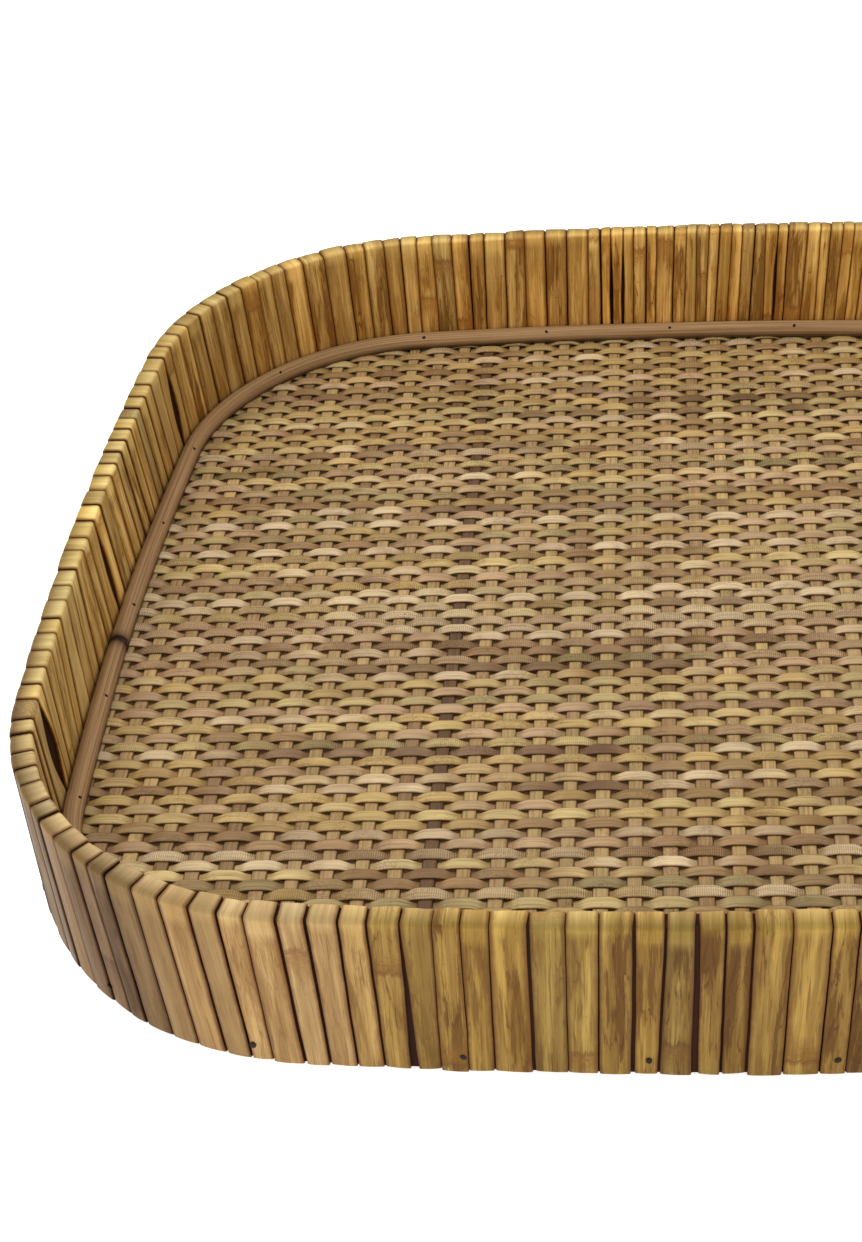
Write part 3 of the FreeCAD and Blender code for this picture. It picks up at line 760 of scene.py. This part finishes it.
def turn_tone(tone_out, tone_in):
    """The tone at each step of a turn, paler near its top, partly as painted light, and darker with
    painted shade where it faces up and at its inner foot; and how near its paler top each step is, from 0
    to 1.
    """
    top = np.clip((SECTION[:, 1] / HEIGHT - random.uniform(0.84, 0.97)) / 0.05, 0, 1)
    warm = random.normal(0, 0.022)
    tone = tone_out + (tone_in - tone_out) * INSIDE_SHARE[:, None]
    tone = tone * random.normal(1, 0.12) * np.array([1 + warm, 1 - 0.3 * warm, 1 - 3 * warm])
    # Paler near the top: partly paler peel, partly painted light where the wall's top catches the lamp.
    tone = tone * (1 + top[:, None] * TOP_PALER_PEEL_AND_LIGHT)
    # Darker where the peel faces up: painted shade.
    tone = tone * (1 - np.clip(SECTION[:, 3:4], 0, 1) * UPWARD_PAINTED_SHADE)
    # Darker and browner down the inside towards the floor: painted shade where the wall meets the floor.
    inner_foot_shade = INSIDE_SHARE * np.clip((DOWN_SHARE - random.uniform(0.2, 0.6)) / 0.5, 0, 1)
    return tone * (1 - inner_foot_shade[:, None] * INNER_FOOT_PAINTED_SHADE), top


def add_turn(grids, before, after, shift, tone_out, tone_in, stained):
    """One turn of peel between two gaps, with the values that its material reads."""
    across, points = turn_shape(before, after, shift)
    along = SECTION_ALONG[:, None] + random.uniform(0, 90)
    node_place = random.uniform(-0.3, 1.3) * SECTION_LENGTH
    to_node = (SECTION_ALONG[:, None] - node_place) * random.choice([-1, 1])
    place_values = np.stack(np.broadcast_arrays(along, across, to_node), axis=-1)
    tone, top = turn_tone(tone_out, tone_in)
    amount = stained * random.uniform(0.3, 1.3) * (1 - 0.75 * top)
    edge = np.concatenate([PEEL_ACROSS, [1.4, -1.4]])
    kind = np.stack(np.broadcast_arrays(random.random(), edge[None, :], amount[:, None]), axis=-1)
    grids.add(points, closed=True, strip_place=place_values, strip_kind=kind,
              strip_tone=opaque(tone, across.shape))


# ---- the woven floor ----

MAT_MIDDLE = (MAT_LOW + MAT_HIGH) / 2
MAT_EDGE_INSET = 9.0 * MM
WARP_WIDTH = 4.7 * MM
DARK_WARP = -7
# Across a strip, in shares of half its width: first its upper side from rim to rim, then its base.
CANE_ACROSS = np.array([-1, -0.86, -0.45, 0, 0.45, 0.86, 1, 0.9, -0.9])
CANE_UPPER = 7

Cane = namedtuple("Cane", "pitch thick crown rise runs_along_x")
WEFT = Cane(pitch=WEFT_PITCH, thick=0.75 * MM, crown=0.28 * MM, rise=0.80 * MM, runs_along_x=True)
WARP = Cane(pitch=WARP_PITCH, thick=0.80 * MM, crown=0.12 * MM, rise=0.20 * MM, runs_along_x=False)

# The strips' tones, and how often each comes against the others.
WEFT_TONES = (
    (srgb(182, 160, 108), 5), (srgb(174, 147, 93), 5), (srgb(172, 143, 108), 4),
    (srgb(192, 170, 134), 3), (srgb(154, 136, 92), 2), (srgb(142, 112, 75), 2),
)
WARP_TONES = ((srgb(166, 140, 92), 5), (srgb(156, 128, 88), 3), (srgb(134, 106, 70), 2))
DARK_TONE = srgb(108, 78, 50)


def pick_tone(tones):
    """One of the tones, a little brighter or darker."""
    weights = np.array([weight for _, weight in tones], float)
    tone, _ = tones[random.choice(len(tones), p=weights / weights.sum())]
    return tone * random.normal(1, 0.06)


def turned(points):
    """The points turned as the mat lies in the tray."""
    cos, sin = math.cos(MAT_TURN), math.sin(MAT_TURN)
    x, y, z = points[..., 0], points[..., 1], points[..., 2]
    return np.stack([x * cos - y * sin, x * sin + y * cos, z], axis=-1)


def strip_tones(along, tones):
    """The tone at each station of a strip: two tones that blend into each other along it, and on
    some strips a dark length."""
    blend = np.clip(0.5 + wobble(along, 110 * MM, 0.9), 0, 1)[:, None]
    tone = pick_tone(tones) * blend + pick_tone(tones) * (1 - blend)
    tone = tone * (1 + wobble(along, 34 * MM, 0.10))[:, None]
    if random.random() < 0.16:
        middle = random.uniform(-0.15, 0.15)
        reach = random.uniform(0.01, 0.07)
        depth = random.uniform(0.4, 0.8)
        dark = np.clip((reach - np.abs(along - middle)) / (6 * MM), 0, 1)[:, None] * depth
        tone = tone * (1 - dark) + DARK_TONE * dark
    return tone


def add_cane(grids, cane, middle, along, rise, widths, tones, ribbing):
    """A strip whose middle line runs at middle and goes up and down by rise. Its ends follow the
    outline under the bead."""
    sideways = widths[:, None] / 2 * CANE_ACROSS
    up = cane.thick / 2 - cane.crown * CANE_ACROSS ** 2
    up[CANE_UPPER:] = -cane.thick / 2
    up[[0, CANE_UPPER - 1]] = -0.1 * cane.thick
    across = middle + sideways + wobble(along, 160 * MM, 0.12 * MM)[:, None]
    place = np.repeat(along[:, None], len(CANE_ACROSS), axis=1)
    place[0] = -outline.half_chord(across[0], MAT_EDGE_INSET)
    place[-1] = outline.half_chord(across[-1], MAT_EDGE_INSET)
    height = MAT_MIDDLE + rise[:, None] + up[None, :]
    flat = (place, across) if cane.runs_along_x else (across, place)
    points = turned(np.stack([*flat, height], axis=-1))
    crest = rise[:, None] / cane.rise
    values = np.stack(np.broadcast_arrays(place, sideways, crest), axis=-1)
    kind = np.stack(np.broadcast_arrays(random.random(), CANE_ACROSS, ribbing + 0 * place), axis=-1)
    grids.add(points, strip_place=values, strip_kind=kind, strip_tone=opaque(tones, place.shape))


def strip_rows(cane, parity):
    """The numbers of the even or the odd strips of a kind, the one through the middle being 0."""
    last = math.floor((HALF_SIZE - MAT_EDGE_INSET) / cane.pitch)
    return [row for row in range(-last, last + 1) if row % 2 == parity]


def strip_stations(middle, width, step):
    """Stations along a strip, evenly spaced between its ends under the bead."""
    ends = outline.half_chord(middle + np.array([-0.6, 0.6]) * width, MAT_EDGE_INSET).min()
    last = math.floor((ends - step / 3) / step)
    return np.concatenate([[-ends], np.arange(-last, last + 1) * step, [ends]])


def make_wefts(parity, label, material):
    """Every other weft: each passes over one warp and under the next, widest over the warps."""
    grids = Grids()
    for row in strip_rows(WEFT, parity):
        width = random.uniform(0.93, 1.06) * WEFT_PITCH
        along = strip_stations(row * WEFT_PITCH, width, WARP_PITCH / 6)
        wave = np.cos(along / WARP_PITCH * math.pi) * (1 if row % 2 else -1)
        plateau = wave * (1.8 - 0.8 * wave ** 2)
        rise = WEFT.rise * (plateau * random.uniform(0.85, 1.05) + wobble(along, 23 * MM, 0.12))
        widths = width * (0.97 + 0.15 * plateau + wobble(along, 14 * MM, 0.06))
        middle = row * WEFT_PITCH + random.normal(0, 0.05) * MM
        tones = strip_tones(along, WEFT_TONES)
        add_cane(grids, WEFT, middle, along, rise, widths, tones, random.random())
    place_piece("wefts_" + label, grids.mesh("wefts_" + label), material, "weft_cane",
                "weft_strips_" + label)


def make_warps(parity, label, material):
    """Every other warp: strips that keep their width and give a little under each weft. One warp
    of the whole mat is dark."""
    grids = Grids()
    for row in strip_rows(WARP, parity):
        width = random.uniform(0.93, 1.05) * WARP_WIDTH
        along = strip_stations(row * WARP_PITCH, width, WEFT_PITCH / 4)
        rise = -WARP.rise * np.cos(along / WEFT_PITCH * math.pi) * (1 if row % 2 else -1)
        tones = strip_tones(along, WARP_TONES)
        if row == DARK_WARP:
            tones = DARK_TONE * (0.75 + wobble(along, 50 * MM, 0.15))[:, None]
        middle = row * WARP_PITCH + random.normal(0, 0.12) * MM
        add_cane(grids, WARP, middle, along, rise, np.full_like(along, width), tones, 0.0)
    place_piece("warps_" + label, grids.mesh("warps_" + label), material, "warp_cane",
                "warp_strips_" + label)


# ---- bead, nails and brads ----

BEAD_JOINT = 2.6 * MM
BEAD_STATIONS = 640
BEAD_STEPS = 23
BEAD_BASE = 0.5 * MM


def bead_section(turn):
    """The D section, ridged by its fibres: one point of its base, a point at each angle over its
    round top, and the other point of its base. Each has its metres across from the middle line,
    above the foot of the bead, and around."""
    ridges = 0.05 * MM * np.sin(turn * 19) + 0.035 * MM * np.sin(turn * 33 + 1)
    radius = BEAD_WIDTH / 2 - 0.10 * MM + ridges
    side = BEAD_HIGH - BEAD_LOW - BEAD_WIDTH / 2
    foot = BEAD_WIDTH / 2 - 0.2 * MM
    across = np.concatenate([[-foot], radius * np.cos(turn), [foot]])
    up = np.concatenate([[-BEAD_BASE], side + radius * np.sin(turn), [-BEAD_BASE]])
    around = np.concatenate([[-0.2], np.linspace(0, 1, len(turn)), [1.2]]) * BEAD_WIDTH * 1.6
    return across, up, around


def make_bead(material):
    """D-shaped cane round the floor, with a butt joint on the left side that a dark plug fills."""
    joint = sum(outline.span("left")) / 2 - BEAD_JOINT_Y
    place = np.linspace(joint + BEAD_JOINT / 2, joint + outline.length - BEAD_JOINT / 2, BEAD_STATIONS)
    turn = np.linspace(math.pi, 0, BEAD_STEPS)
    across, up, around = bead_section(turn)
    sway = wobble(place, 90 * MM, 0.12 * MM)
    swell = 1 + wobble(place, 60 * MM, 0.02)
    inset = BEAD_INSET + across[None, :] * swell[:, None] + sway[:, None]
    height = BEAD_LOW + up[None, :] + 0 * inset
    points = outline.points(place[:, None] + 0 * inset, inset, height)
    from_joint = np.minimum(place - place[0], place[-1] - place)
    # Dark near the joint, which is dirty, and towards the bead's foot, which is painted shade where it
    # sits on the floor.
    joint_dirt_and_foot_shade = 1.3 * np.exp(-from_joint / (2 * MM))[:, None] + np.exp(-(height - BEAD_LOW) / (0.8 * MM))
    values = np.stack(np.broadcast_arrays(place[:, None], around[None, :], np.clip(joint_dirt_and_foot_shade, 0, 1)), axis=-1)
    grids = Grids()
    grids.add(points, strip_place=values)
    plug = points[[-1, 0]]
    plug[:, 1:-1, 2] -= 0.5 * MM * np.sin(turn)
    grids.add(plug, strip_place=values[[-1, 0]] + [0, 0, 1])
    place_piece("bead", grids.mesh("bead"), material, "bead_cane", "inner_bead")


def fastener_places(node):
    """The head end and the tip end of each fastener of a CAD node. The fasteners are told apart by
    their bearing from the middle of the tray, and the head is the wider end."""
    points = np.array([vertex.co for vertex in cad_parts[node].data.vertices])
    bearing = np.arctan2(points[:, 1], points[:, 0])
    order = np.argsort(bearing)
    space = math.radians(2)
    groups = np.split(order, np.nonzero(np.diff(bearing[order]) > space)[0] + 1)
    if 2 * math.pi - (bearing[order[-1]] - bearing[order[0]]) < space:
        groups[0] = np.concatenate([groups[0], groups.pop()])
    places = []
    for group in groups:
        own = points[group]
        middle = own.mean(0)
        axis = np.linalg.svd(own - middle, full_matrices=False)[2][0]
        reach = (own - middle) @ axis
        head = own[reach > reach.max() - 0.1 * MM]
        tip = own[reach < reach.min() + 0.1 * MM]
        if np.ptp(head, axis=0).max() <= np.ptp(tip, axis=0).max():
            head, tip = tip, head
        places.append((head.mean(0), tip.mean(0)))
    return places


def make_fasteners(name, node, places, head_radius, shank_radius, rise, material):
    """Nails with a low domed head that stands out by rise, each a little different."""
    grids = Grids()
    around = np.linspace(0, 2 * math.pi, 20, endpoint=False)
    for head, tip in places:
        length = np.linalg.norm(tip - head)
        axis = (tip - head) / length
        side = np.cross(axis, [0.3, 0.2, 1.0])
        side /= np.linalg.norm(side)
        other = np.cross(axis, side)
        size = head_radius * random.uniform(0.88, 1.1)
        rings = [(0.02 * size, -rise), (0.45 * size, -0.93 * rise), (0.8 * size, -0.62 * rise),
                 (size, -0.1 * rise), (size, 0.3 * MM), (shank_radius, 0.32 * MM),
                 (shank_radius, length - MM), (0.1 * shank_radius, length)]
        oval = 1 + 0.12 * np.cos(2 * around + random.uniform(0, 6))
        spokes = np.cos(around)[:, None] * side + np.sin(around)[:, None] * other
        points = [head + axis * depth + (radius * oval)[:, None] * spokes for radius, depth in rings]
        grids.add(np.array(points))
    place_piece(name, grids.mesh(name), material, "nail_steel", node)


def leaning_brads(places):
    """The given brads, leant square to the bead's surface between its crown and its inner side."""
    line = np.arange(0, outline.length, 0.25 * MM)
    middle = outline.points(line, BEAD_INSET, BEAD_HIGH)
    centre_height = BEAD_HIGH - BEAD_WIDTH / 2
    leaning = []
    for head, _ in places:
        place = line[np.argmin(np.hypot(*(middle - head)[:, :2].T))]
        ends = []
        for reach in (BEAD_WIDTH / 2, -BEAD_WIDTH / 3):
            inset = BEAD_INSET + reach * math.sin(BRAD_LEAN)
            ends.append(outline.points(place, inset, centre_height + reach * math.cos(BRAD_LEAN)))
        leaning.append(ends)
    return leaning


# ---- stage, light and camera ----

CAMERA_PLACE = Vector((11.5, -605.3, 464.1)) * MM
CAMERA_DOWN = math.radians(36.83)
CAMERA_YAW = math.radians(-6.61)
CAMERA_ROLL = math.radians(-4.69)
CAMERA_LENS = 63.3
CAMERA_SHIFT = -0.055


def make_camera():
    forward = Vector((math.sin(CAMERA_YAW) * math.cos(CAMERA_DOWN),
                      math.cos(CAMERA_YAW) * math.cos(CAMERA_DOWN), -math.sin(CAMERA_DOWN)))
    level = Vector((math.cos(CAMERA_YAW), -math.sin(CAMERA_YAW), 0))
    upright = level.cross(forward)
    right = level * math.cos(CAMERA_ROLL) + upright * math.sin(CAMERA_ROLL)
    up = upright * math.cos(CAMERA_ROLL) - level * math.sin(CAMERA_ROLL)
    data = bpy.data.cameras.new("camera")
    data.lens = CAMERA_LENS
    data.sensor_width = 36
    data.shift_x = CAMERA_SHIFT
    data.clip_start = 0.01
    data.clip_end = 20
    camera = bpy.data.objects.new("camera", data)
    turn = Matrix((right, up, -forward)).transposed().to_4x4()
    camera.matrix_world = Matrix.Translation(CAMERA_PLACE) @ turn
    bpy.context.scene.collection.objects.link(camera)
    bpy.context.scene.camera = camera


def make_floor():
    """A wide plain floor just under the tray, that shines a little so that it shows white."""
    reach = 6.0
    mesh = bpy.data.meshes.new("floor")
    corners = [(-reach, -reach), (reach, -reach), (reach, reach), (-reach, reach)]
    mesh.from_pydata([(x, y, -0.05 * MM) for x, y in corners], [], [(0, 1, 2, 3)])
    n = Nodes("floor")
    n.shader.inputs["Base Color"].default_value = (0.80, 0.80, 0.80, 1)
    n.shader.inputs["Roughness"].default_value = 0.9
    n.shader.inputs["Specular IOR Level"].default_value = 0.0
    n.shader.inputs["Emission Color"].default_value = (1, 1, 1, 1)
    n.shader.inputs["Emission Strength"].default_value = 0.75
    mesh.materials.append(n.material)
    floor = bpy.data.objects.new("floor", mesh)
    bpy.context.scene.collection.objects.link(floor)


def area_light(name, place, size, power):
    """A square lamp that is aimed at the middle of the tray."""
    data = bpy.data.lights.new(name, "AREA")
    data.shape = "SQUARE"
    data.size = size
    data.energy = power
    light = bpy.data.objects.new(name, data)
    light.location = place
    light.rotation_mode = "QUATERNION"
    light.rotation_quaternion = (-Vector(place)).to_track_quat("-Z", "Y")
    bpy.context.scene.collection.objects.link(light)


def make_lights():
    world = bpy.data.worlds.new("studio")
    world.use_nodes = True
    world.node_tree.nodes["Background"].inputs["Color"].default_value = (1, 1, 1, 1)
    world.node_tree.nodes["Background"].inputs["Strength"].default_value = 0.92
    bpy.context.scene.world = world
    area_light("key", (-0.6, 0.25, 1.7), size=0.8, power=15)
    area_light("fill", (0.5, -1.5, 1.4), size=1.4, power=3)
    bpy.context.scene.view_settings.view_transform = "Standard"


# ---- the whole tray ----

def dress(node, material):
    """A CAD node that stays, with a finished material."""
    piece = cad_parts[node]
    piece.data.materials.clear()
    piece.data.materials.append(material)


def main():
    make_camera()
    make_floor()
    make_lights()
    make_peel(peel_material())
    wefts = cane_material("weft_cane", 1300.0, 0.75, 0.9)
    warps = cane_material("warp_cane", 1100.0, 0.6, 0.0)
    for parity, label in enumerate(("even", "odd")):
        make_wefts(parity, label, wefts)
        make_warps(parity, label, warps)
    make_bead(bead_material())
    steel = steel_material()
    nails = fastener_places("rim_nails")
    make_fasteners("rim_nail_heads", "rim_nails", nails, 1.0 * MM, 0.7 * MM, 0.12 * MM, steel)
    brads = leaning_brads(fastener_places("bead_brads"))
    make_fasteners("bead_brad_heads", "bead_brads", brads, 0.6 * MM, 0.5 * MM, 0.12 * MM, steel)
    # The hoop's wood is near-black: partly its dark stain, partly painted shade, so that the gaps between
    # turns show dark.
    core = wood_material("hoop_wood", srgb(54, 28, 17), srgb(28, 14, 9), 160.0, upright=True)
    for node in ("outer_hoop_front", "outer_hoop_back", "inner_hoop_left", "inner_hoop_right"):
        dress(node, core)
    plywood = wood_material("plywood", srgb(176, 136, 90), srgb(140, 100, 62), 45.0, upright=False)
    dress("base_board", plywood)


main()
